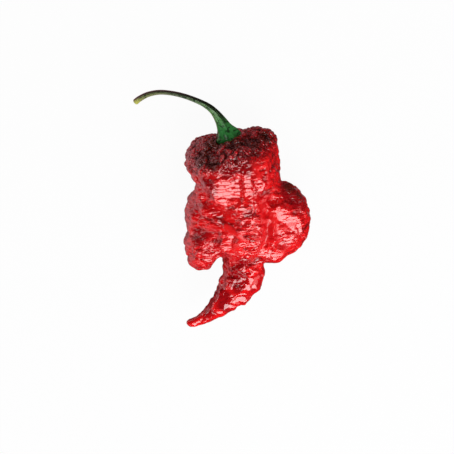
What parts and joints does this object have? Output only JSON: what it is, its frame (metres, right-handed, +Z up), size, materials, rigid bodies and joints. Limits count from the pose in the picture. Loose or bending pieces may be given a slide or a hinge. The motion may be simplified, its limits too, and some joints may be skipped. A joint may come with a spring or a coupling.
{
  "type": "trinidad moruga scorpion pepper",
  "caption": "Lumpy, wrinkled red hot pepper with swollen shoulders and lobes, a bent ringed tail like a sting, and a long thin curved green stalk, lying on its side.",
  "frame": {"origin": "centre of the object's footprint box, on the surface that it lies on", "axes": "+Y from the tail towards the stalk, along the pod; +Z up from the surface; +X to the right of someone who stands at the tail and looks down on it, towards the larger side lobe"},
  "size_m": [0.0568, 0.0814, 0.0286],
  "materials": {
    "pod": "waxy red skin, glossy and finely wrinkled, darker maroon on the shoulders round the stalk",
    "stalk": "smooth fibrous green stem with faint long ribs, satin, paler and olive towards the dry cut end"
  },
  "bodies": {
    "root": {"pod": "pod", "stalk": "stalk"}
  },
  "joints": []
}
